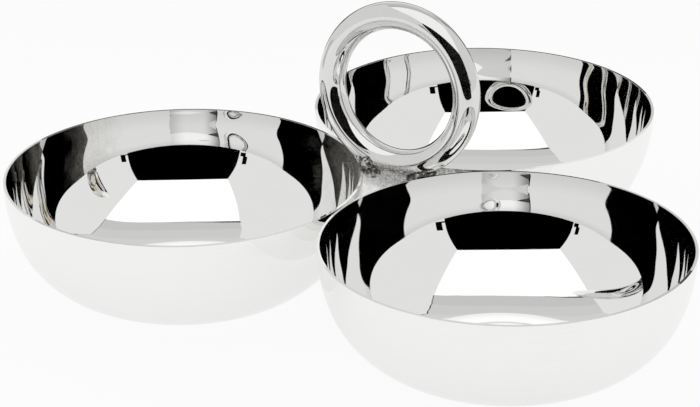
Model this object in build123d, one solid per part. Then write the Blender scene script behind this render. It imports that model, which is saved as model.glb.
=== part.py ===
"""Divided serving bowl: three spun steel bowls brazed rim to rim, with a ring handle standing between them.

Millimetres and degrees, +Z up. The origin is on the table, at the middle of the footprint. The left and
right bowls stand in front, at -Y, and the back bowl behind them. The ring sits on the two front rims and
leans a little towards the back bowl.
"""

import math
import os

from build123d import *

# Bowl: one spun shell, whose side curves in from an upright rim, turns faster towards the base and rounds
# out to a flat foot; inside, the top of the wall is straight and leans out, which thins the rim
RIM_RADIUS = 76.0
BOWL_HEIGHT = 52.9
WALL = 1.9
WALL_ARC = 67.5
TURN_ARC = 42.0
BASE_ARC = 62.0
BASE_ANGLE = 25.0
RIM_EDGE = 1.2
RIM_ROUND = 0.4
FOOT_WIDTH = 5.0
BASE_DOME = 0.9

# Layout: the rims of neighbours almost touch
RIM_GAP = 0.4

# Ring handle: a round bar bent into a hoop
RING_MEAN_RADIUS = 32.0
RING_BAR = 11.6
RING_LEAN = 4.5
RING_SEAT_GAP = 1.1
RING_BACK_GAP = 1.9

# Braze between two bowls: a web with a hollowed edge, a little below the rims
WEB_RADIUS = 8.0
WEB_DROP = 9.5
WEB_HOLLOW = 1.6

# Braze between the ring and a bowl: a bead along the bar, which bites round both pieces
BEAD_LENGTH = 15.0
BEAD_BITE = 3.3
BEAD_SLIDE = 3.0

# Sizes that follow from those above
BAR_RADIUS = RING_BAR / 2
PITCH = 2 * RIM_RADIUS + RIM_GAP
ROW_DEPTH = PITCH * math.sqrt(3) / 2
WALL_CENTRE = RIM_RADIUS - WALL_ARC
TURN_HEIGHT = BASE_ARC - (BASE_ARC - TURN_ARC) * math.cos(math.radians(BASE_ANGLE))
TURN_DROP = BOWL_HEIGHT - TURN_HEIGHT
TURN_CENTRE = WALL_CENTRE + math.sqrt((WALL_ARC - TURN_ARC) ** 2 - TURN_DROP**2)
TURN_ANGLE = math.degrees(math.atan2(TURN_DROP, TURN_CENTRE - WALL_CENTRE))
MOUTH_RADIUS = RIM_RADIUS - RIM_EDGE
RIM_LEAN = math.degrees(math.acos((WALL_ARC - WALL) / (MOUTH_RADIUS - WALL_CENTRE)))
FOOT_RADIUS = TURN_CENTRE - (BASE_ARC - TURN_ARC) * math.sin(math.radians(BASE_ANGLE))
DOME_RADIUS = FOOT_RADIUS - FOOT_WIDTH

BOWL_CENTRES = {
    "left": Vector(-PITCH / 2, -ROW_DEPTH / 2, 0),
    "right": Vector(PITCH / 2, -ROW_DEPTH / 2, 0),
    "back": Vector(0, ROW_DEPTH / 2, 0),
}


def base_curve(inset):
    """Half outline of a bowl's base, from the axis to the side, moved in from the outside by inset."""
    dome = ThreePointArc(
        (0, inset + BASE_DOME),
        (DOME_RADIUS / 2, inset + BASE_DOME * 3 / 4),
        (DOME_RADIUS, inset),
    )
    foot = Line((DOME_RADIUS, inset), (FOOT_RADIUS, inset))
    base = CenterArc((FOOT_RADIUS, BASE_ARC), BASE_ARC - inset, -90, BASE_ANGLE)
    sweep = 90 - BASE_ANGLE - TURN_ANGLE
    turn = CenterArc((TURN_CENTRE, TURN_HEIGHT), TURN_ARC - inset, BASE_ANGLE - 90, sweep)
    return dome + foot + base + turn


def outer_curve():
    """Half outline of a bowl's outside, from the axis to the rim."""
    side = CenterArc((WALL_CENTRE, BOWL_HEIGHT), WALL_ARC, -TURN_ANGLE, TURN_ANGLE)
    return base_curve(0) + side


def inner_curve():
    """Half outline of a bowl's inside, from the axis to the rim, with a straight lead-in at the top."""
    side = CenterArc((WALL_CENTRE, BOWL_HEIGHT), WALL_ARC - WALL, -TURN_ANGLE, TURN_ANGLE - RIM_LEAN)
    lead_in = Line(side @ 1, (MOUTH_RADIUS, BOWL_HEIGHT))
    return base_curve(WALL) + side + lead_in


def spun(outline):
    """Revolves a closed outline, drawn with X as the radius and Y as the height, about the Z axis."""
    return revolve(Plane.YZ * make_face(outline), Axis.Z)


def make_bowl():
    """Shell of one sheet with a thinned rim and softened edges."""
    outer = outer_curve()
    inner = inner_curve()
    closing = [Line(inner @ 0, outer @ 0), Line(outer @ 1, inner @ 1)]
    shell = spun(outer + inner + closing)
    rim_edges = shell.edges().filter_by(GeomType.CIRCLE).group_by(Axis.Z)[-1]
    return fillet(rim_edges, RIM_ROUND)


def make_block():
    """A bowl with the space in it and straight up out of it filled, where no braze may reach."""
    outer = outer_curve()
    ceiling = BOWL_HEIGHT + RING_MEAN_RADIUS
    mouth = [(MOUTH_RADIUS, BOWL_HEIGHT), (MOUTH_RADIUS, ceiling), (0, ceiling)]
    block = spun(outer + Polyline(outer @ 1, *mouth, outer @ 0))
    rim_level = block.edges().filter_by(GeomType.CIRCLE).group_by(Axis.Z)[-2]
    return fillet(rim_level.sort_by(SortBy.RADIUS)[-1], RIM_ROUND)


def ring_point(angle, lowest_height):
    """Point of the bar's centre line, with angle 0 at the bottom and lowest_height the bottom's height."""
    lean, turn = math.radians(RING_LEAN), math.radians(angle)
    lowest_depth = BOWL_CENTRES["back"].Y - RIM_RADIUS - RING_BACK_GAP - BAR_RADIUS
    climb = RING_MEAN_RADIUS * (1 - math.cos(turn))
    return Vector(
        RING_MEAN_RADIUS * math.sin(turn),
        lowest_depth + climb * math.sin(lean),
        lowest_height + climb * math.cos(lean),
    )


def nearest_on_rim(bowl, point):
    """Point of a bowl's rounded rim edge that is nearest to a point outside it."""
    centre = BOWL_CENTRES[bowl]
    outwards = Vector(point.X - centre.X, point.Y - centre.Y, 0).normalized()
    edge_centre = centre + outwards * (RIM_RADIUS - RIM_ROUND) + Vector(0, 0, BOWL_HEIGHT - RIM_ROUND)
    return edge_centre + (point - edge_centre).normalized() * RIM_ROUND


def closest_angle(bowl, lowest_height):
    """Angle on the lower half of the ring at which the bar comes closest to a bowl's rim."""
    steps = 180
    sign = -1 if bowl == "left" else 1
    angles = [sign * 90 * i / steps for i in range(steps + 1)]

    def distance(angle):
        bar = ring_point(angle, lowest_height)
        return (bar - nearest_on_rim(bowl, bar)).length

    return min(angles, key=distance)


def seated_height():
    """Height of the bar's lowest centre point at which the ring sits on the front rims."""
    low, high = BOWL_HEIGHT - BAR_RADIUS, BOWL_HEIGHT + RING_BAR
    for _ in range(30):
        middle = (low + high) / 2
        bar = ring_point(closest_angle("left", middle), middle)
        if (bar - nearest_on_rim("left", bar)).length < BAR_RADIUS + RING_SEAT_GAP:
            low = middle
        else:
            high = middle
    return high


def make_ring(lowest_height):
    """Round bar hoop, leaning back about its lowest point."""
    bottom, top = ring_point(0, lowest_height), ring_point(180, lowest_height)
    middle = (bottom + top) / 2
    return Pos(*middle) * Rot(X=90 - RING_LEAN) * Torus(RING_MEAN_RADIUS, BAR_RADIUS)


def make_web(first, second):
    """Disc of braze in the narrow wedge where two bowls meet, before the bowls are cut from it."""
    ends = BOWL_CENTRES[first], BOWL_CENTRES[second]
    middle = (ends[0] + ends[1]) / 2 + Vector(0, 0, BOWL_HEIGHT - WEB_DROP)
    edge = ThreePointArc((WEB_RADIUS, -WEB_RADIUS), (WEB_RADIUS - WEB_HOLLOW, 0), (WEB_RADIUS, WEB_RADIUS))
    rest = Polyline(edge @ 1, (0, WEB_RADIUS), (0, -WEB_RADIUS), edge @ 0)
    return Plane(middle, z_dir=ends[1] - ends[0]) * spun(edge + rest)


def make_bead(bowl, lowest_height):
    """Bead of braze along the bar where it passes a rim, before the ring and the bowls are cut from it."""
    angle = closest_angle(bowl, lowest_height)
    bar = ring_point(angle, lowest_height)
    rim = nearest_on_rim(bowl, bar)
    gap = (bar - rim).length - BAR_RADIUS
    along = (ring_point(angle + 1, lowest_height) - ring_point(angle - 1, lowest_height)).normalized()
    slide = {"left": BEAD_SLIDE, "right": -BEAD_SLIDE, "back": 0}[bowl]
    middle = rim + (bar - rim).normalized() * (gap / 2) + along * slide
    half = EllipticalCenterArc((0, 0), gap / 2 + BEAD_BITE, BEAD_LENGTH / 2, start_angle=-90, arc_size=180)
    return Plane(middle, z_dir=along) * spun(half + Line(half @ 1, half @ 0))


def largest(shape):
    """The main solid of a cut shape, without crumbs."""
    return max(shape.solids(), key=lambda solid: solid.volume)


def main():
    shell, block = make_bowl(), make_block()
    lowest = seated_height()
    ring = make_ring(lowest)
    filled = [Pos(*centre) * block for centre in BOWL_CENTRES.values()]

    parts = {f"bowl_{name}": Pos(*centre) * shell for name, centre in BOWL_CENTRES.items()}
    parts["ring_handle"] = ring
    brazes = {
        "bowl_braze_front": make_web("left", "right"),
        "bowl_braze_left": make_web("left", "back"),
        "bowl_braze_right": make_web("back", "right"),
        "ring_braze_left": make_bead("left", lowest),
        "ring_braze_right": make_bead("right", lowest),
        "ring_braze_back": make_bead("back", lowest),
    }
    set_before = []
    for name, filler in brazes.items():
        parts[name] = largest(filler - [ring] - filled - set_before)
        set_before.append(parts[name])

    os.makedirs("parts", exist_ok=True)
    for name, solid in parts.items():
        export_step(solid, f"parts/{name}.step")
        size = solid.bounding_box().size
        print(f"{name}: {solid.volume:.1f} mm3, {size.X:.1f} x {size.Y:.1f} x {size.Z:.1f} mm")


main()
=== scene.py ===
# %% [markdown]
# # Three steel bowls and a ring
# This lesson dresses a snack server: three spun steel bowls, brazed rim to rim, with a ring handle that
# stands between them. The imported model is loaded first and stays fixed. It gives every place, so each
# piece that is drawn here can be set down without any fitting.

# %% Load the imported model
import math

import bmesh
import bpy
from mathutils import Matrix, Vector, noise


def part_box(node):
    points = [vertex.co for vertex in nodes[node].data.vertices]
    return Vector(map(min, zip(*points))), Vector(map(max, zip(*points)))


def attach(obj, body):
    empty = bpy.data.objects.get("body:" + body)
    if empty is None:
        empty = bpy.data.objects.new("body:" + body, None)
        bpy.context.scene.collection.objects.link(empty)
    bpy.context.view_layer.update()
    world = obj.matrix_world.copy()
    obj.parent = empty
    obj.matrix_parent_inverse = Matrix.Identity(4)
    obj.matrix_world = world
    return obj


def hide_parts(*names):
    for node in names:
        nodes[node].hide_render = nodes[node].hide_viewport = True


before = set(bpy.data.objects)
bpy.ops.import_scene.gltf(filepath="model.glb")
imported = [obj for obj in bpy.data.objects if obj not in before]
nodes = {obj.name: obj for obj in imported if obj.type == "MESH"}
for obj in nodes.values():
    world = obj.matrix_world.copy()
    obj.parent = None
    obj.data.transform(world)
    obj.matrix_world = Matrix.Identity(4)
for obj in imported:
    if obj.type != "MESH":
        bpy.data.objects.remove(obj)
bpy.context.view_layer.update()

print("pieces in the frame:", ", ".join(sorted(nodes)))

# %% [markdown]
# ## Sizes
# The bowls are turned shapes, so a few radii describe them: a side arc that is upright at the rim, a
# tighter arc that turns it inwards, a wider one that rounds out to the flat foot, and a shallow dome
# inside the foot. They are the same numbers as in the solid model, in metres, apart from the rim edge,
# which is crisper here and falls a little outwards. Places are read from the frame.

# %% Sizes of the bowls and the ring
RIM_RADIUS = 0.076
BOWL_HEIGHT = 0.0529
WALL = 0.0019
WALL_ARC = 0.0675
TURN_ARC = 0.042
BASE_ARC = 0.062
BASE_ANGLE = math.radians(25)
RIM_EDGE = 0.0012
RIM_ROUND = 0.00008
RIM_FALL = 0.00009
FOOT_WIDTH = 0.005
BASE_DOME = 0.0009
RING_BAR_RADIUS = 0.0058
RING_LEAN = math.radians(4.5)

WALL_CENTRE = RIM_RADIUS - WALL_ARC
TURN_HEIGHT = BASE_ARC - (BASE_ARC - TURN_ARC) * math.cos(BASE_ANGLE)
TURN_DROP = BOWL_HEIGHT - TURN_HEIGHT
TURN_CENTRE = WALL_CENTRE + math.sqrt((WALL_ARC - TURN_ARC) ** 2 - TURN_DROP**2)
TURN_ANGLE = math.atan2(TURN_DROP, TURN_CENTRE - WALL_CENTRE)
FOOT_RADIUS = TURN_CENTRE - (BASE_ARC - TURN_ARC) * math.sin(BASE_ANGLE)
DOME_RADIUS = FOOT_RADIUS - FOOT_WIDTH


def node_middle(name):
    low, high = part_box(name)
    return (Vector(low) + Vector(high)) / 2


print(f"foot radius {FOOT_RADIUS * 1000:.1f} mm, side turns at {math.degrees(TURN_ANGLE):.1f} degrees")

# %% [markdown]
# ## Shader maths as Python
# A node tree is easier to read as a formula. This small class wraps one output socket, and the operators
# add the Math nodes behind it. Vectors and colours have methods of their own, because a Math node would
# turn a colour grey. Every other node comes from one method, `node`, which takes the type, its settings
# and its inputs.

# %% A socket that does maths
WHITE, BLACK = (1, 1, 1, 1), (0, 0, 0, 1)


class Wire:
    """One output socket of a node tree. Its operators add Math nodes."""

    def __init__(self, tree, socket=None):
        self.tree, self.socket = tree, socket

    def node(self, kind, settings=None, inputs=None, output=0):
        made = self.tree.nodes.new(kind)
        for key, value in (settings or {}).items():
            setattr(made, key, value)
        for key, value in (inputs or {}).items():
            if isinstance(value, Wire):
                self.tree.links.new(value.socket, made.inputs[key])
            else:
                made.inputs[key].default_value = value
        return Wire(self.tree, made.outputs[output])

    def maths(self, operation, *values):
        return self.node("ShaderNodeMath", {"operation": operation}, dict(enumerate(values)))

    def vectors(self, operation, *values, output=0):
        return self.node("ShaderNodeVectorMath", {"operation": operation}, dict(enumerate(values)), output)

    def colours(self, share, first, second):
        """Blend of two colours by a share between 0 and 1."""
        return self.node("ShaderNodeMix", {"data_type": "RGBA"}, {0: share, 6: first, 7: second}, 2)

    def cloud(self, place, scale, detail):
        """Noise from 0 to 1 in space, finer with a larger scale."""
        return self.node("ShaderNodeTexNoise", {}, {"Vector": place, "Scale": scale, "Detail": detail})

    def between(self, low, high):
        """0 at low and 1 at high, with a soft start and end."""
        limits = {"Value": self, "From Min": low, "From Max": high}
        return self.node("ShaderNodeMapRange", {"interpolation_type": "SMOOTHSTEP"}, limits)

    def __add__(self, other):
        return self.maths("ADD", self, other)

    __radd__ = __add__

    def __sub__(self, other):
        return self.maths("SUBTRACT", self, other)

    def __rsub__(self, other):
        return self.maths("SUBTRACT", other, self)

    def __mul__(self, other):
        return self.maths("MULTIPLY", self, other)

    __rmul__ = __mul__

    def smaller(self, other):
        return self.maths("MINIMUM", self, other)

    def larger(self, other):
        return self.maths("MAXIMUM", self, other)


def new_material(name):
    """An empty material, a wire to add its nodes with, and its output node."""
    material = bpy.data.materials.new(name)
    material.use_nodes = True
    material.node_tree.nodes.clear()
    output = material.node_tree.nodes.new("ShaderNodeOutputMaterial")
    return material, Wire(material.node_tree), output


def set_surface(wire, output, shader):
    wire.tree.links.new(shader.socket, output.inputs["Surface"])


print("Wire is ready for +, - and *, also with a number first")

# %% [markdown]
# ## The camera
# The camera stands to the right, a little above the rims, with a long lens that keeps the circles calm.
# A tiny roll levels the table as the picture shows it. No lens shift is needed.

# %% Camera
CAMERA_PLACE = Vector((0.51257, -0.97380, 0.50110))
CAMERA_AIM = Vector((0.0015, -0.06054, 0.0529))
CAMERA_ROLL = math.radians(-0.32)
LENS_MM, SENSOR_MM = 141.9, 36.0
NEAREST_SEEN, FARTHEST_SEEN = 0.01, 50.0

camera = bpy.data.objects.new("camera", bpy.data.cameras.new("camera"))
bpy.context.scene.collection.objects.link(camera)
camera.data.sensor_fit = "HORIZONTAL"
camera.data.sensor_width = SENSOR_MM
camera.data.lens = LENS_MM
camera.data.clip_start = NEAREST_SEEN
camera.data.clip_end = FARTHEST_SEEN
camera.location = CAMERA_PLACE
look = (CAMERA_AIM - CAMERA_PLACE).to_track_quat("-Z", "Y").to_matrix()
camera.rotation_euler = (look @ Matrix.Rotation(CAMERA_ROLL, 3, "Z")).to_euler()
bpy.context.scene.camera = camera
print("camera distance", round((CAMERA_PLACE - CAMERA_AIM).length, 3), "m")

# %% [markdown]
# ## The studio
# Polished metal shows the room more than itself, so the room is built with care. It is plain: a white tent
# all round, one square softbox above, a dark opening where the camera looks in, and a grey sheet behind
# the table. Lamps would light the steel too, but they would give its mirrors no edges to show, so each of
# these is a flat panel with a glow of its own. The panels are set square to the camera, and only light and
# reflections see them.

# %% A panel of the room
STUDIO_TURN = math.radians(28.3)
SHADE_LEFT, SHADE_LEFT_SHARE = (-0.08, -0.32), 0.3
SHADE_RIGHT, SHADE_RIGHT_SHARE = (0.10, 0.38), 0.7
PANEL_FOOT = 0.001


def studio_point(across, along, up):
    """Room coordinates: across to the camera's right, along away from it, and up, about the origin."""
    c, s = math.cos(STUDIO_TURN), math.sin(STUDIO_TURN)
    return Vector((across * c - along * s, across * s + along * c, up))


def upright(left, right, low, high, along):
    """Corners of an upright oblong that faces the camera."""
    return [(left, along, low), (right, along, low), (right, along, high), (left, along, high)]


def panel(name, corners, level, shaded=False):
    """A flat glowing or black panel that the camera doesn't see, darker at its sides if shaded."""
    mesh = bpy.data.meshes.new(name)
    mesh.from_pydata([studio_point(*corner) for corner in corners], [], [range(len(corners))])
    sheet = bpy.data.objects.new(name, mesh)
    bpy.context.scene.collection.objects.link(sheet)
    material, wire, output = new_material(name)
    colour = WHITE
    if shaded:
        place = wire.node("ShaderNodeNewGeometry", output="Position")
        across = wire.vectors("DOT_PRODUCT", place, studio_point(1, 0, 0), output="Value")
        shade_left = across.between(*SHADE_LEFT) * SHADE_LEFT_SHARE
        shade_right = across.between(*SHADE_RIGHT) * SHADE_RIGHT_SHARE
        colour = wire.colours(shade_left + shade_right, WHITE, BLACK)
    glow = wire.node("ShaderNodeEmission", {}, {"Color": colour, "Strength": level})
    set_surface(wire, output, glow)
    mesh.materials.append(material)
    sheet.visible_camera = False


print("across is", tuple(round(v, 3) for v in studio_point(1, 0, 0)))

# %% [markdown]
# The softbox is a wide lit cloth above the table, tilted back. From its front edge the dark opening reaches
# down to the table. Each bowl shows both, the cloth as the bright patch in its base and the opening as the
# black shape above that. So their corners were found by following the edges of these shapes back through
# the mirrors. Small black clips stand at the opening's sides.

# %% Softbox and dark opening
SOFTBOX_LEVEL = 1.1
FRONT_ALONG = -0.616
FRONT_LEFT, FRONT_RIGHT = (-0.485, FRONT_ALONG, 0.605), (0.460, FRONT_ALONG, 0.645)
SOFTBOX_BACK = (0.162, 0.692)
BACK_LEFT, BACK_RIGHT = -0.345, 0.336
OPENING_LEFT, OPENING_RIGHT = -0.550, 0.482
CLIPS = [
    ("clip_left_arm", -0.612, -0.545, 0.155, 0.195),
    ("clip_left", -0.635, -0.578, 0.195, 0.285),
    ("clip_right_arm", 0.475, 0.588, 0.157, 0.170),
    ("clip_right", 0.512, 0.588, 0.170, 0.245),
]

panel("softbox", [
    FRONT_LEFT, FRONT_RIGHT, (BACK_RIGHT, *SOFTBOX_BACK), (BACK_LEFT, *SOFTBOX_BACK),
], SOFTBOX_LEVEL)
panel("dark_opening", [
    FRONT_LEFT, FRONT_RIGHT,
    (OPENING_RIGHT, FRONT_ALONG, PANEL_FOOT), (OPENING_LEFT, FRONT_ALONG, PANEL_FOOT),
], 0.0)
for name, *limits in CLIPS:
    panel(name, upright(*limits, FRONT_ALONG), 0.0)
print("softbox is", round(SOFTBOX_BACK[0] - FRONT_ALONG, 3), "m deep, with", len(CLIPS), "clip panels")

# %% [markdown]
# A pale grey sheet hangs from the softbox's back edge behind the table. It falls in strips that are lighter
# further down, with a dark binding along the right side and a thin dark gap at the top left. The lowest
# strip curls in at its right corner. Flat strips are enough here, because the steel bends them into the
# soft shapes that it shows.

# %% Hanging sheet
SHEET_LINE = [SOFTBOX_BACK, (0.280, 0.635), (0.390, 0.602), (0.430, 0.500)]
SHEET_LEVELS = [0.571, 0.62, 0.658]
SHEET_LEFT = [BACK_LEFT, -0.305, -0.270, -0.300]
SHEET_RIGHT = [BACK_RIGHT, 0.277, 0.260, 0.338]
SHEET_LOW_LEVEL = 0.755
BINDING, BINDING_LEVEL = 0.005, 0.03
GAP_TOP = (SOFTBOX_BACK[0], SOFTBOX_BACK[1] - 0.002)
GAP_RIGHT, GAP_FOOT, GAP_LEVEL = -0.020, (0.186, 0.678), 0.03
HEM_ALONG, HEM_TOP = 0.440, 0.335
HEM_LEFT, HEM_RIGHT = -0.265, 0.345
CURL = [(0.17, HEM_TOP), (0.22, 0.372), (0.28, 0.405), (0.325, 0.43), (0.345, 0.46)]

for i, level in enumerate(SHEET_LEVELS):
    upper, lower = SHEET_LINE[i], SHEET_LINE[i + 1]
    right, next_right = SHEET_RIGHT[i], SHEET_RIGHT[i + 1]
    panel(f"sheet_fall_{i + 1}", [
        (SHEET_LEFT[i], *upper), (right, *upper), (next_right, *lower), (SHEET_LEFT[i + 1], *lower),
    ], level)
    panel(f"sheet_binding_{i + 1}", [
        (right, *upper), (right + BINDING, *upper), (next_right + BINDING, *lower), (next_right, *lower),
    ], BINDING_LEVEL)
panel("sheet_gap", [(BACK_LEFT, *GAP_TOP), (GAP_RIGHT, *GAP_TOP), (BACK_LEFT, *GAP_FOOT)], GAP_LEVEL)
panel("sheet_low", [
    (SHEET_LEFT[-1], *SHEET_LINE[-1]), (HEM_LEFT, HEM_ALONG, HEM_TOP),
    *[(across, HEM_ALONG, up) for across, up in CURL], (SHEET_RIGHT[-1], *SHEET_LINE[-1]),
], SHEET_LOW_LEVEL, shaded=True)
print("sheet falls in", len(SHEET_LEVELS) + 1, "strips")

# %% [markdown]
# The sheet ends in a white hem with a slanting foot. Two dark panels at its right end are painted shade
# that stands for its folds. Just behind it are a grey strip, the dark of the room low down, and the dark
# edges of the sheet and its curl. Dark panels matter as much as lit ones, since black is what makes steel
# look polished.

# %% White hem and the dark behind it
HEM_FOOT_LEFT, HEM_FOOT_RIGHT, HEM_LEVEL = 0.180, 0.260, 0.968
BEHIND_ALONG, GREY_FOOT = HEM_ALONG + 0.004, 0.172
BEHIND = [
    ("grey_behind", HEM_LEFT, HEM_RIGHT, GREY_FOOT, HEM_TOP, 0.658),
    ("dark_behind", -0.30, 0.34, PANEL_FOOT, GREY_FOOT, 0.02),
    ("sheet_edge_right", HEM_RIGHT, HEM_RIGHT + 0.018, 0.262, 0.55, 0.0),
    ("sheet_edge_left", HEM_LEFT - 0.012, HEM_LEFT, 0.350, 0.430, 0.05),
    ("dark_curl", 0.15, HEM_RIGHT, HEM_TOP, 0.47, 0.06),
]
FOLDS, FOLD_SHADE_LEVEL = [(0.25, 0.206, 0.226), (0.29, 0.174, 0.185)], 0.08

panel("sheet_hem", [
    (HEM_LEFT, HEM_ALONG, HEM_FOOT_LEFT), (HEM_RIGHT, HEM_ALONG, HEM_FOOT_RIGHT),
    (HEM_RIGHT, HEM_ALONG, HEM_TOP), (HEM_LEFT, HEM_ALONG, HEM_TOP),
], HEM_LEVEL, shaded=True)
for name, *limits, level in BEHIND:
    panel(name, upright(*limits, BEHIND_ALONG), level)
# Painted shade: two dark panels stand for the shade in the hem's folds at its right end.
for i, (tip, low, high) in enumerate(FOLDS):
    panel(f"painted_fold_shade_{i + 1}", [
        (tip, HEM_ALONG, (low + high) / 2), (HEM_RIGHT, HEM_ALONG, low), (HEM_RIGHT, HEM_ALONG, high),
    ], FOLD_SHADE_LEVEL)
print("panels behind the hem:", len(BEHIND))

# %% [markdown]
# The white tent is the world itself, which costs nothing and has no corners that the mirrors could show.
# Its level is plain, so that colours come out about as they are written. One low grey panel stands for the
# tent's shaded side on the left.

# %% Tent
TENT_LEVEL, TENT_SIDE_LEVEL = 0.784, 0.60
SIDE_ACROSS, SIDE_FRONT, SIDE_BACK, SIDE_TOP = -0.50, 0.03, 0.25, 0.13

world = bpy.data.worlds.new("white_tent")
bpy.context.scene.world = world
world.use_nodes = True
world.node_tree.nodes["Background"].inputs["Color"].default_value = WHITE
world.node_tree.nodes["Background"].inputs["Strength"].default_value = TENT_LEVEL
bpy.context.scene.view_settings.view_transform = "Standard"
panel("tent_side", [
    (SIDE_ACROSS, SIDE_FRONT, PANEL_FOOT), (SIDE_ACROSS, SIDE_BACK, PANEL_FOOT),
    (SIDE_ACROSS, SIDE_BACK, SIDE_TOP), (SIDE_ACROSS, SIDE_FRONT, SIDE_TOP),
], TENT_SIDE_LEVEL)
print("tent level", TENT_LEVEL, "and a grey side at", SIDE_ACROSS, "m")

# %% [markdown]
# ## The table top
# A pale floor, large enough to reach past the picture. Its own light is blended with a plain white that
# only the camera and the mirrors see, so the ground is nearly white and still keeps the soft shadow.

# %% Floor
FLOOR_HALF = 3.0
PAPER = (0.95, 0.95, 0.95, 1)
CAMERA_WHITE, MIRROR_WHITE = 0.92, 0.75

floor_mesh = bpy.data.meshes.new("floor")
floor_corners = [(-1, -1), (1, -1), (1, 1), (-1, 1)]
floor_mesh.from_pydata([(x * FLOOR_HALF, y * FLOOR_HALF, 0) for x, y in floor_corners], [], [(0, 1, 2, 3)])
floor = bpy.data.objects.new("floor", floor_mesh)
bpy.context.scene.collection.objects.link(floor)
floor_material, wire, output = new_material("pale_table")
paper = wire.node("ShaderNodeBsdfDiffuse", {}, {"Color": PAPER})
white = wire.node("ShaderNodeEmission", {}, {"Color": WHITE, "Strength": 1.0})
by_camera, by_metal, by_glass = (
    wire.node("ShaderNodeLightPath", output=kind)
    for kind in ("Is Camera Ray", "Is Glossy Ray", "Is Transmission Ray"))
mirrored = wire.node("ShaderNodeMixShader", {}, {
    0: by_metal.larger(by_glass) * MIRROR_WHITE, 1: paper, 2: white})
seen = wire.node("ShaderNodeMixShader", {}, {0: by_camera * CAMERA_WHITE, 1: mirrored, 2: white})
set_surface(wire, output, seen)
floor_mesh.materials.append(floor_material)
print("floor is", FLOOR_HALF * 2, "m wide")

# %% [markdown]
# ## The bowls
# A bowl is spun from one round of sheet on a lathe, so its mesh is turned too: the half outline is walked
# once, over the inside, round the rim and back along the outside, and swept about the axis. A dense sweep
# is chosen over a subdivided one because a mirror shows every flat.

# %% Outside of a bowl
DOME_STEPS, FOOT_STEPS, BASE_STEPS, TURN_STEPS, SIDE_STEPS = 8, 4, 14, 18, 14


def arc(centre, radius, start, end, steps):
    """Points of an arc as (radius, height) pairs, without its first point."""
    angles = [start + (end - start) * i / steps for i in range(1, steps + 1)]
    return [(centre[0] + radius * math.cos(a), centre[1] + radius * math.sin(a)) for a in angles]


def foot_line(inset):
    """From the axis over the shallow dome to the foot's outer edge."""
    shares = [i / DOME_STEPS for i in range(DOME_STEPS + 1)]
    dome = [(DOME_RADIUS * share, inset + BASE_DOME * (1 - share**2)) for share in shares]
    foot = [(DOME_RADIUS + FOOT_WIDTH * i / FOOT_STEPS, inset) for i in range(1, FOOT_STEPS + 1)]
    return dome + foot


def outer_line():
    """From the axis along the outside to just under the rim."""
    foot_angle, turn_angle = -math.pi / 2, BASE_ANGLE - math.pi / 2
    rim_angle = math.asin((RIM_ROUND + RIM_FALL) / WALL_ARC)
    base = arc((FOOT_RADIUS, BASE_ARC), BASE_ARC, foot_angle, turn_angle, BASE_STEPS)
    turn = arc((TURN_CENTRE, TURN_HEIGHT), TURN_ARC, turn_angle, -TURN_ANGLE, TURN_STEPS)
    side = arc((WALL_CENTRE, BOWL_HEIGHT), WALL_ARC, -TURN_ANGLE, -rim_angle, SIDE_STEPS)
    return foot_line(0) + base + turn + side


print("outside has", len(outer_line()), "points")

# %% [markdown]
# The top of the inner wall leans out, so the sheet is thin at the rim. The change from the lean to the
# round side has to be gradual, or the mirror shows it as a kink. So the inside is found by adding up
# small steps along the wall, with a curvature that sets in softly below the rim. Each bowl was spun by
# hand, so the lean differs a little from one to the next.

# %% Inside of a bowl
STEP = 0.00005
KEEP_EVERY = 24
FOOT_CLEARANCE = 0.0005
ONSET_START, ONSET_END = 0.5, 1.5
RIM_LEANS = {"left": math.radians(7.0), "right": math.radians(7.75), "back": math.radians(9.0)}


def inner_line(lean):
    """From the axis along the inside to the rim, as (radius, height) pairs."""
    side_radius, turn_radius, base_radius = (r - WALL for r in (WALL_ARC, TURN_ARC, BASE_ARC))
    mean = side_radius * lean
    side_end = side_radius * TURN_ANGLE
    turn_end = side_end + turn_radius * (math.pi / 2 - BASE_ANGLE - TURN_ANGLE)
    base_end = turn_end + base_radius * BASE_ANGLE
    slope, radius, height = lean, 0.0, 0.0
    walked, places = 0.0, [(0.0, 0.0)]
    while walked < base_end:
        bend = 1 / (side_radius if walked < side_end else turn_radius if walked < turn_end else base_radius)
        onset = (walked / mean - ONSET_START) / (ONSET_END - ONSET_START)
        onset = min(1.0, max(0.0, onset))
        slope += bend * onset * onset * (3 - 2 * onset) * STEP
        radius -= math.sin(slope) * STEP
        height -= math.cos(slope) * STEP
        walked += STEP
        places.append((radius, height))
    wall = [(r + RIM_RADIUS - RIM_EDGE, z + WALL - height) for r, z in places]
    rim_height = BOWL_HEIGHT - RIM_ROUND
    wall = [p for p in wall if p[1] <= rim_height and p[0] > FOOT_RADIUS + FOOT_CLEARANCE]
    return foot_line(WALL) + wall[::KEEP_EVERY][::-1]


insides = {side: inner_line(lean) for side, lean in RIM_LEANS.items()}
for side, inside in insides.items():
    print(f"{side}: {len(inside)} points, rim edge {(RIM_RADIUS - inside[-1][0]) * 1000:.2f} mm wide")

# %% [markdown]
# The edge itself is nearly flat and falls a little outwards, as a file leaves it. Its corners are rounded
# by less than a tenth of a millimetre. Two extra points close to them keep the smooth shading of the
# corners off the flat, which otherwise would look swollen.

# %% Outline over the rim
RIM_STEPS = 5
RIM_FLAT_MARGIN = 0.00006


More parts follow.
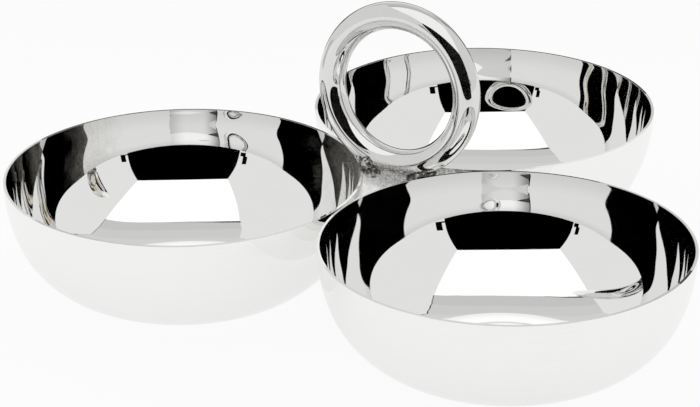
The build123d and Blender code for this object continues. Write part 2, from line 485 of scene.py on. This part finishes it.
def bowl_outline(inside):
    """Half outline of a bowl: up the inside, over the rounded rim edge and down the outside."""
    inner_edge, outer_edge = inside[-1][0] + RIM_ROUND, RIM_RADIUS - RIM_ROUND
    rim_height = BOWL_HEIGHT - RIM_ROUND
    low_height = rim_height - RIM_FALL
    over = arc((inner_edge, rim_height), RIM_ROUND, math.pi, math.pi / 2, RIM_STEPS)
    for out in (inner_edge + RIM_FLAT_MARGIN, outer_edge - RIM_FLAT_MARGIN, outer_edge):
        share = (out - inner_edge) / (outer_edge - inner_edge)
        over.append((out, BOWL_HEIGHT - RIM_FALL * share))
    over += arc((outer_edge, low_height), RIM_ROUND, math.pi / 2, 0, RIM_STEPS)
    return inside + over + outer_line()[::-1][1:]


outlines = {side: bowl_outline(inside) for side, inside in insides.items()}
print("outline points:", {side: len(outline) for side, outline in outlines.items()})

# %% [markdown]
# Hand-held tools on a lathe never leave a perfect round. A very small ripple, a few thousandths of a
# millimetre, is put into the mesh itself. It is too small to see, but the reflections show it, as they
# do on the real wall.

# %% Ripple of the wall
RIPPLE_DEPTH = 0.000005
RIPPLE_LENGTH = 0.028
SEED_SHIFT = (7.3, 3.1, 0.0)


def ripple(point, seed):
    shift = Vector([seed * step for step in SEED_SHIFT])
    return RIPPLE_DEPTH * noise.noise(Vector(point) / RIPPLE_LENGTH + shift)


print("ripple at the right of a rim:", ripple((RIM_RADIUS, 0, BOWL_HEIGHT), 0), "m")

# %% [markdown]
# The sweep sets down one ring of points for each point of the outline, and joins the rings with faces. A
# UV map goes with it: how far round, and how far along the outline. The lines that polishing leaves follow
# that map later.

# %% Turn a bowl
BOWL_STEPS = 240
ON_AXIS = 1e-9


def finished_mesh(name, builder):
    """The mesh that a builder has put together."""
    mesh = bpy.data.meshes.new(name)
    builder.to_mesh(mesh)
    builder.free()
    return mesh


def turned_rings(builder, outline, steps, seed):
    """A ring of points for each point of an outline, or one point where that is on the axis."""
    directions = [2 * math.pi * i / steps for i in range(steps)]
    rings = []
    for radius, height in outline:
        if radius < ON_AXIS:
            rings.append([builder.verts.new((0, 0, height))])
            continue
        share = min(1.0, max(0.0, (radius - FOOT_RADIUS) / FOOT_RADIUS))
        row = []
        for a in directions:
            out = Vector((math.cos(a), math.sin(a), 0))
            place = out * radius + Vector((0, 0, height))
            row.append(builder.verts.new(place + out * ripple(place, seed) * share))
        rings.append(row)
    return rings


def turned_mesh(name, outline, steps, seed):
    """Sweeps an outline that starts and ends on the axis round it, with a UV map of (turn, length)."""
    builder = bmesh.new()
    rings = turned_rings(builder, outline, steps, seed)
    lengths = [0.0]
    for first, second in zip(outline, outline[1:]):
        lengths.append(lengths[-1] + math.dist(first, second))
    uv = builder.loops.layers.uv.new("turned")
    for row in range(len(rings) - 1):
        for i in range(steps):
            corners = []
            for ring, column in ((row, i), (row, i + 1), (row + 1, i + 1), (row + 1, i)):
                vert = rings[ring][column % len(rings[ring])]
                if not corners or vert is not corners[-1][0]:
                    corners.append((vert, (column / steps, lengths[ring])))
            if corners[0][0] is corners[-1][0]:
                corners.pop()
            face = builder.faces.new([corner[0] for corner in corners])
            face.smooth = True
            for loop, corner in zip(face.loops, corners):
                loop[uv].uv = corner[1]
    bmesh.ops.recalc_face_normals(builder, faces=builder.faces)
    return finished_mesh(name, builder)


def add_piece(name, mesh, node):
    """Sets a mesh down as a piece of the object that stands for one solid of the frame."""
    piece = bpy.data.objects.new(name, mesh)
    bpy.context.scene.collection.objects.link(piece)
    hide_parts(node)
    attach(piece, "root")
    return piece


bowls = []
for seed, (side, outline) in enumerate(outlines.items()):
    middle = node_middle(f"bowl_{side}")
    mesh = turned_mesh(f"spun_bowl_{side}", outline, BOWL_STEPS, seed)
    mesh.transform(Matrix.Translation((middle.x, middle.y, 0)))
    bowls.append(add_piece(f"spun_bowl_{side}", mesh, f"bowl_{side}"))
print("faces per bowl:", len(bowls[0].data.polygons))

# %% [markdown]
# ## The ring
# The handle is a round bar, bent into a hoop and polished after the ends are welded. A hoop in code gives
# even faces along the bar, and one transform leans it back as the solid does.

# %% Ring
RING_STEPS, BAR_STEPS = 224, 64


def ring_mesh(name, mean_radius, bar_radius):
    """A hoop of round bar about the Z axis, with a UV map of (turn, place round the bar)."""
    builder = bmesh.new()
    uv = builder.loops.layers.uv.new("turned")
    grid = []
    for i in range(RING_STEPS):
        a = 2 * math.pi * i / RING_STEPS
        row = []
        for j in range(BAR_STEPS):
            b = 2 * math.pi * j / BAR_STEPS
            reach, height = mean_radius + bar_radius * math.cos(b), bar_radius * math.sin(b)
            row.append(builder.verts.new((reach * math.cos(a), reach * math.sin(a), height)))
        grid.append(row)
    for i in range(RING_STEPS):
        for j in range(BAR_STEPS):
            places = [(i, j), (i + 1, j), (i + 1, j + 1), (i, j + 1)]
            face = builder.faces.new([grid[p % RING_STEPS][q % BAR_STEPS] for p, q in places])
            face.smooth = True
            for loop, (p, q) in zip(face.loops, places):
                loop[uv].uv = (p / RING_STEPS, q / BAR_STEPS)
    bmesh.ops.recalc_face_normals(builder, faces=builder.faces)
    return finished_mesh(name, builder)


ring_low, ring_high = (Vector(v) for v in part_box("ring_handle"))
ring_mean_radius = (ring_high.x - ring_low.x) / 2 - RING_BAR_RADIUS
ring_shape = ring_mesh("ring_handle_bar", ring_mean_radius, RING_BAR_RADIUS)
lean_back = Matrix.Rotation(math.pi / 2 - RING_LEAN, 4, "X")
ring_shape.transform(Matrix.Translation(node_middle("ring_handle")) @ lean_back)
ring = add_piece("ring_handle_bar", ring_shape, "ring_handle")
print(f"ring mean radius {ring_mean_radius * 1000:.2f} mm")

# %% [markdown]
# ## The brazed joints
# Where the ring meets a rim, filler metal was melted in and left as it froze: small lumps with a crinkled
# skin. The solids are smooth beads, so each is copied, rebuilt as an even net of small faces and pushed
# in and out by noise at two scales. A remesh is used because the beads' own faces are too uneven to move,
# and it also melts a few extra drops into the left bead, where more filler was spent.

# %% Drops of filler
MM = 0.001
DRIPS = {"ring_braze_left": [((1.6, -3.4, 4.1), 2.6), ((-2.3, -2.1, 4.8), 2.0), ((5.0, -2.8, 2.1), 1.4)]}


def with_drips(node):
    """A copy of a solid's mesh with the drops of filler that ran up on it."""
    builder = bmesh.new()
    builder.from_mesh(nodes[node].data)
    for offset, radius in DRIPS.get(node, []):
        middle = node_middle(node) + Vector(offset) * MM
        bmesh.ops.create_icosphere(
            builder, subdivisions=3, radius=radius * MM, matrix=Matrix.Translation(middle))
    return finished_mesh(f"{node}_filler", builder)


print("drops:", {node: len(drops) for node, drops in DRIPS.items()})

# %% Crinkled braze
LUMP_NET, WEB_NET = 0.00035, 0.0006
LUMP_STRENGTH, WEB_STRENGTH = 1.0, 0.6
SOFTEN_ROUNDS = 3
CRINKLE_DEPTH, CRINKLE_LENGTH = 0.00055, 0.0028
CRINKLE_HEIGHT, CRINKLE_FLOOR = 2, 0.6
GRAIN_DEPTH, GRAIN_LENGTH = 0.00018, 0.0009


def crinkled_mesh(name, node, net, strength):
    """A solid's mesh, rebuilt with small even faces and roughened along its normals."""
    source = bpy.data.objects.new(f"{name}_source", with_drips(node))
    bpy.context.scene.collection.objects.link(source)
    remesh = source.modifiers.new("net", "REMESH")
    remesh.mode = "VOXEL"
    remesh.voxel_size = net
    smooth = source.modifiers.new("soften", "SMOOTH")
    smooth.iterations = SOFTEN_ROUNDS
    graph = bpy.context.evaluated_depsgraph_get()
    mesh = bpy.data.meshes.new_from_object(source.evaluated_get(graph))
    mesh.name = name
    bpy.data.objects.remove(source)
    mesh.materials.clear()
    normals = [vertex.normal.copy() for vertex in mesh.vertices]
    for vertex, normal in zip(mesh.vertices, normals):
        fold = abs(noise.noise(vertex.co / CRINKLE_LENGTH)) * CRINKLE_HEIGHT - CRINKLE_FLOOR
        grain = noise.noise(vertex.co / GRAIN_LENGTH)
        vertex.co += normal * strength * (CRINKLE_DEPTH * fold + GRAIN_DEPTH * grain)
    for face in mesh.polygons:
        face.use_smooth = True
    return mesh


braze_nodes = sorted(name for name in nodes if "braze" in name)
lumps = []
for node in braze_nodes:
    net, strength = (LUMP_NET, LUMP_STRENGTH) if node.startswith("ring") else (WEB_NET, WEB_STRENGTH)
    mesh = crinkled_mesh(f"{node}_lump", node, net, strength)
    lumps.append(add_piece(f"{node}_lump", mesh, node))
print("lumps:", {lump.name: len(lump.data.polygons) for lump in lumps})

# %% [markdown]
# ## Torch haze
# Near the brazed joints the torch has left a dull, slightly brown haze that polishing didn't reach. On the
# left bowl it is a thin pale veil instead, through which the mirror still shows. Painting it would need an
# image, so it is a shader of its own with fine specks, and a mask by distance from the joints says where.

# %% Torch haze
BURNT = (0.27, 0.258, 0.24, 1), (0.10, 0.078, 0.058, 1)
VEILED = (0.62, 0.60, 0.56, 1), (0.46, 0.42, 0.36, 1)
BREAK_SCALE, SPECK_SCALE, BLOTCH_SCALE = 90.0, 1500.0, 160.0
SPECK_LIMITS, BLOTCH_LIMITS = (0.3, 0.7), (0.4, 0.7)
SPECK_SHARE = 0.7
HAZE_CORE = 0.2
HAZE_METALLIC, HAZE_ROUGH = 0.3, 0.3


def torch_haze(wire, place, joints, reach):
    """1 at a brazed joint and 0 at a distance of reach, with a broken edge."""
    nearest = None
    for joint in joints:
        gap = wire.vectors("DISTANCE", place, tuple(node_middle(joint)), output="Value")
        nearest = gap if nearest is None else nearest.smaller(gap)
    broken = (wire.cloud(place, BREAK_SCALE, 4.0) - 0.5) * reach
    return (nearest + broken).between(reach, reach * HAZE_CORE)


def dulled_steel(wire, place, colours):
    """The haze itself, and a mask that thins it between its specks."""
    specks = wire.cloud(place, SPECK_SCALE, 3.0).between(*SPECK_LIMITS)
    blotches = wire.cloud(place, BLOTCH_SCALE, 3.0).between(*BLOTCH_LIMITS)
    dull = wire.node("ShaderNodeBsdfPrincipled", {}, {
        "Base Color": wire.colours(blotches, *colours),
        "Metallic": HAZE_METALLIC,
        "Roughness": specks * HAZE_ROUGH + HAZE_ROUGH,
    })
    return dull, specks * SPECK_SHARE + (1 - SPECK_SHARE)


print("burnt haze", BURNT[0][:3], "and thin veil", VEILED[0][:3])

# %% [markdown]
# ## Mirror steel
# The bowls are polished on the lathe, so the last marks run round them: lines that are barely there, a
# breath of unevenness in the gloss, and fine hairlines. They are noise along the outline's length only,
# which is what the UV map was made for, and a bump of about a thousandth of a millimetre.

# %% Marks of polishing
STEEL_WORN = (0.905, 0.90, 0.888, 1)
LINE_SCALE, HAIR_SCALE, WIPE_SCALE = 1.0, 5.0, 38.0
HAIR_LIMITS, HAIR_PATCHES = (0.72, 0.8), (0.5, 0.62)
ROUGH, LINE_ROUGH, WIPE_ROUGH, HAIR_ROUGH = 0.012, 0.012, 0.012, 0.03
LINE_WEAR, HAIR_WEAR = 0.16, 0.6
LINE_DEPTH = 0.0000013
LINE_BUMP, TURNING_BUMP = 0.35, 0.5
BASE_LENGTH = (0.062, 0.046)


def line_noise(wire, along, scale, detail):
    """Noise in one direction only, which makes lines across it."""
    inputs = {"W": along, "Scale": scale, "Detail": detail}
    return wire.node("ShaderNodeTexNoise", {"noise_dimensions": "1D"}, inputs)


def polish(wire, place, length, pitch, steel):
    """Colour, roughness and bump of polished steel whose last marks run round at a pitch."""
    along = length * (1 / pitch)
    lines = line_noise(wire, along, LINE_SCALE, 2.0)
    wiped = wire.cloud(place, WIPE_SCALE, 3.0)
    hairs = line_noise(wire, along, HAIR_SCALE, 0.0).between(*HAIR_LIMITS) * wiped.between(*HAIR_PATCHES)
    uneven = lines.between(0.35, 0.75) * LINE_ROUGH + wiped.between(0.4, 0.7) * WIPE_ROUGH
    rough = uneven + hairs * HAIR_ROUGH + ROUGH
    worn = hairs * HAIR_WEAR + lines.between(0.55, 0.8) * LINE_WEAR
    colour = wire.colours(worn.smaller(1.0), steel, STEEL_WORN)
    turning = wire.maths("SINE", along * (2 * math.pi)) * length.between(*BASE_LENGTH)
    marks = wire.node("ShaderNodeBump", {}, {
        "Height": lines * LINE_BUMP + turning * TURNING_BUMP, "Strength": 1.0, "Distance": LINE_DEPTH})
    return colour, rough, marks


def surface(wire):
    """Place in space, height above the table, and length along the turned outline."""
    place = wire.node("ShaderNodeNewGeometry", output="Position")
    height = wire.node("ShaderNodeSeparateXYZ", {}, {0: place}, 2)
    unwrapped = wire.node("ShaderNodeUVMap", {"uv_map": "turned"})
    return place, height, wire.node("ShaderNodeSeparateXYZ", {}, {0: unwrapped}, 1)


def hazed_mirror(wire, output, colour, rough, marks, haze, dull):
    """Blends the haze over the mirror, which keeps the reflections under it crisp."""
    mirror = wire.node("ShaderNodeBsdfPrincipled", {}, {
        "Base Color": colour, "Metallic": 1.0, "Roughness": rough, "Normal": marks})
    set_surface(wire, output, wire.node("ShaderNodeMixShader", {}, {0: haze, 1: mirror, 2: dull}))


print("lines are", round(LINE_DEPTH * 1e6, 2), "thousandths of a millimetre deep")

# %% [markdown]
# A bowl has three things that the ring hasn't: a grey ring in its base, where the tool pressed it against
# the lathe, an inner wall painted a little greyer towards the rim as painted shade, and a rim edge that is
# dulled by handling. All of them follow the length along the outline or the height.

# %% Steel of the bowls
STEEL = (0.95, 0.95, 0.942, 1)
LINE_PITCH = 0.0021
TOOL_GREY, TOOL_SHARE = (0.60, 0.60, 0.595, 1), 0.8
TOOL_RING = (0.0314, 0.0332)
# Grey of the painted shade below the rim, and how far down the inner wall it reaches.
RIM_SHADE_GREY, RIM_SHADE_REACH = (0.82, 0.818, 0.81, 1), 0.009
FADE = 0.0005
HAZE_START = 0.002
EDGE_SHARE = 0.1


def bowl_steel(name, inside, joints, reach, share, veiled=False):
    """A bowl's finish: hazed round some joints on the outside, or veiled on both sides."""
    material, wire, output = new_material(name)
    place, height, length = surface(wire)
    colour, rough, marks = polish(wire, place, length, LINE_PITCH, STEEL)
    inner, outer = TOOL_RING
    tool_ring = length.between(inner, inner + FADE) * length.between(outer, outer - FADE)
    colour = wire.colours(tool_ring * TOOL_SHARE, colour, TOOL_GREY)
    rim_length = sum(math.dist(*pair) for pair in zip(inside, inside[1:]))
    # Painted shade: the inner wall turns greyer over its top few millimetres, up to the rim.
    rim_shade = length.between(rim_length - RIM_SHADE_REACH, rim_length)
    rim_shade = rim_shade * length.between(rim_length + FADE, rim_length)
    colour = wire.colours(rim_shade, colour, RIM_SHADE_GREY)
    dull, specks = dulled_steel(wire, place, VEILED if veiled else BURNT)
    haze = torch_haze(wire, place, joints, reach) * specks * share
    if not veiled:
        haze = haze * length.between(rim_length, rim_length + HAZE_START)
    edge = height.between(BOWL_HEIGHT - RIM_ROUND - RIM_FALL, BOWL_HEIGHT - RIM_FALL)
    hazed_mirror(wire, output, colour, rough, marks, haze.larger(edge * EDGE_SHARE), dull)
    return material


ring_joints = [name for name in braze_nodes if name.startswith("ring")]
finishes = {
    "spun_bowl_left": bowl_steel(
        "left_bowl_steel", insides["left"], ["ring_braze_left"], reach=0.050, share=0.46, veiled=True),
    "spun_bowl_right": bowl_steel(
        "right_bowl_steel", insides["right"], ["ring_braze_right"], reach=0.007, share=0.3),
    "spun_bowl_back": bowl_steel(
        "back_bowl_steel", insides["back"], ring_joints, reach=0.040, share=0.8),
}
for bowl in bowls:
    bowl.data.materials.append(finishes[bowl.name])
print("bowl finishes:", ", ".join(finishes))

# %% [markdown]
# The ring is polished by hand, a little less bright than the bowls, with a thin veil all over. The torch
# dulled its underside, and left a straw tint on the flank that no buff reached. The direction that a face
# looks in says where that flank is.

# %% Steel of the ring
RING_STEEL = (0.84, 0.84, 0.832, 1)
RING_TINT = (0.72, 0.58, 0.38, 1)
TINT_SCALE, TINT_LIMITS = 110.0, (0.35, 0.6)
TINT_LEFT, TINT_BACK = (0.45, 0.8), (0.0, 0.2)
RING_PITCH = 1 / 26
UNDERSIDE = (0.0585, 0.0535)
RING_VEIL = 0.10


def heat_tint(wire, place):
    """Streaks on the ring's flank to the left and the back, where the torch tinted it."""
    facing = wire.node("ShaderNodeNewGeometry", output="Normal")
    left = wire.vectors("DOT_PRODUCT", facing, studio_point(-1, 0, 0), output="Value")
    back = wire.vectors("DOT_PRODUCT", facing, studio_point(0, 1, 0), output="Value")
    streaks = wire.cloud(place, TINT_SCALE, 3.0).between(*TINT_LIMITS)
    return left.between(*TINT_LEFT) * back.between(*TINT_BACK) * streaks


def ring_finish(name, joints, reach, share):
    """The ring's finish: tinted on one flank, and hazed round the joints on its underside."""
    material, wire, output = new_material(name)
    place, height, length = surface(wire)
    colour, rough, marks = polish(wire, place, length, RING_PITCH, RING_STEEL)
    colour = wire.colours(heat_tint(wire, place), colour, RING_TINT)
    dull, specks = dulled_steel(wire, place, BURNT)
    haze = torch_haze(wire, place, joints, reach) * specks * share
    haze = (haze * height.between(*UNDERSIDE)).larger(RING_VEIL)
    hazed_mirror(wire, output, colour, rough, marks, haze, dull)
    return material


ring.data.materials.append(ring_finish("ring_steel", ring_joints, reach=0.022, share=1.5))
print("ring finish:", ring.data.materials[0].name)

# %% [markdown]
# ## Braze
# Frozen filler is silvery where it is clean. It is dark in its folds and pits, partly from flux and soot
# and partly as painted shade. Two noises do this: a coarse one for the folds and a fine one for pits, which
# also dull the gloss and dent the surface. The two beads at the front are painted darker, with more soot
# and shade.

# %% Braze material
BRAZE_BRIGHT = (0.60, 0.59, 0.56, 1)
BRAZE_DARK = (0.055, 0.045, 0.04, 1)
# The two front beads are painted darker, with more soot and painted shade over them.
SOOT_AND_SHADE = {"ring_braze_left": (0.40, 0.56), "ring_braze_right": (0.33, 0.51)}
PLAIN_SOOT_AND_SHADE = (0.45, 0.58)
FOLD_SCALE, PIT_SCALE = 420.0, 1800.0
PIT_LIMITS = (0.54, 0.68)
FOLD_SOOT_AND_SHADE, PIT_SOOT_AND_SHADE = 0.85, 0.4
CLEAN_ROUGH, SOOT_ROUGH = 0.12, 0.35
PIT_DENT, DENT_STRENGTH, DENT_DEPTH = 0.5, 0.5, 0.0003


def braze_material(name, limits):
    """Frozen filler, with soot and painted shade in the folds where their noise passes the limits."""
    material, wire, output = new_material(name)
    place = wire.node("ShaderNodeNewGeometry", output="Position")
    folds = wire.node("ShaderNodeTexNoise", {}, {
        "Vector": place, "Scale": FOLD_SCALE, "Detail": 4.0, "Roughness": 0.6})
    pits = wire.cloud(place, PIT_SCALE, 3.0)
    # Soot and painted shade: the folds and pits are darkened the way shade would darken them.
    soot_and_shade = folds.between(*limits) * FOLD_SOOT_AND_SHADE + pits.between(*PIT_LIMITS) * PIT_SOOT_AND_SHADE
    colour = wire.colours(soot_and_shade.smaller(1.0), BRAZE_BRIGHT, BRAZE_DARK)
    dents = wire.node("ShaderNodeBump", {}, {
        "Height": folds + pits * PIT_DENT, "Strength": DENT_STRENGTH, "Distance": DENT_DEPTH})
    filler = wire.node("ShaderNodeBsdfPrincipled", {}, {
        "Base Color": colour, "Metallic": 1.0, "Normal": dents,
        "Roughness": soot_and_shade * SOOT_ROUGH + CLEAN_ROUGH})
    set_surface(wire, output, filler)
    return material


for lump, node in zip(lumps, braze_nodes):
    lump.data.materials.append(braze_material(f"{node}_filler", SOOT_AND_SHADE.get(node, PLAIN_SOOT_AND_SHADE)))
print("braze on", len(lumps), "lumps")
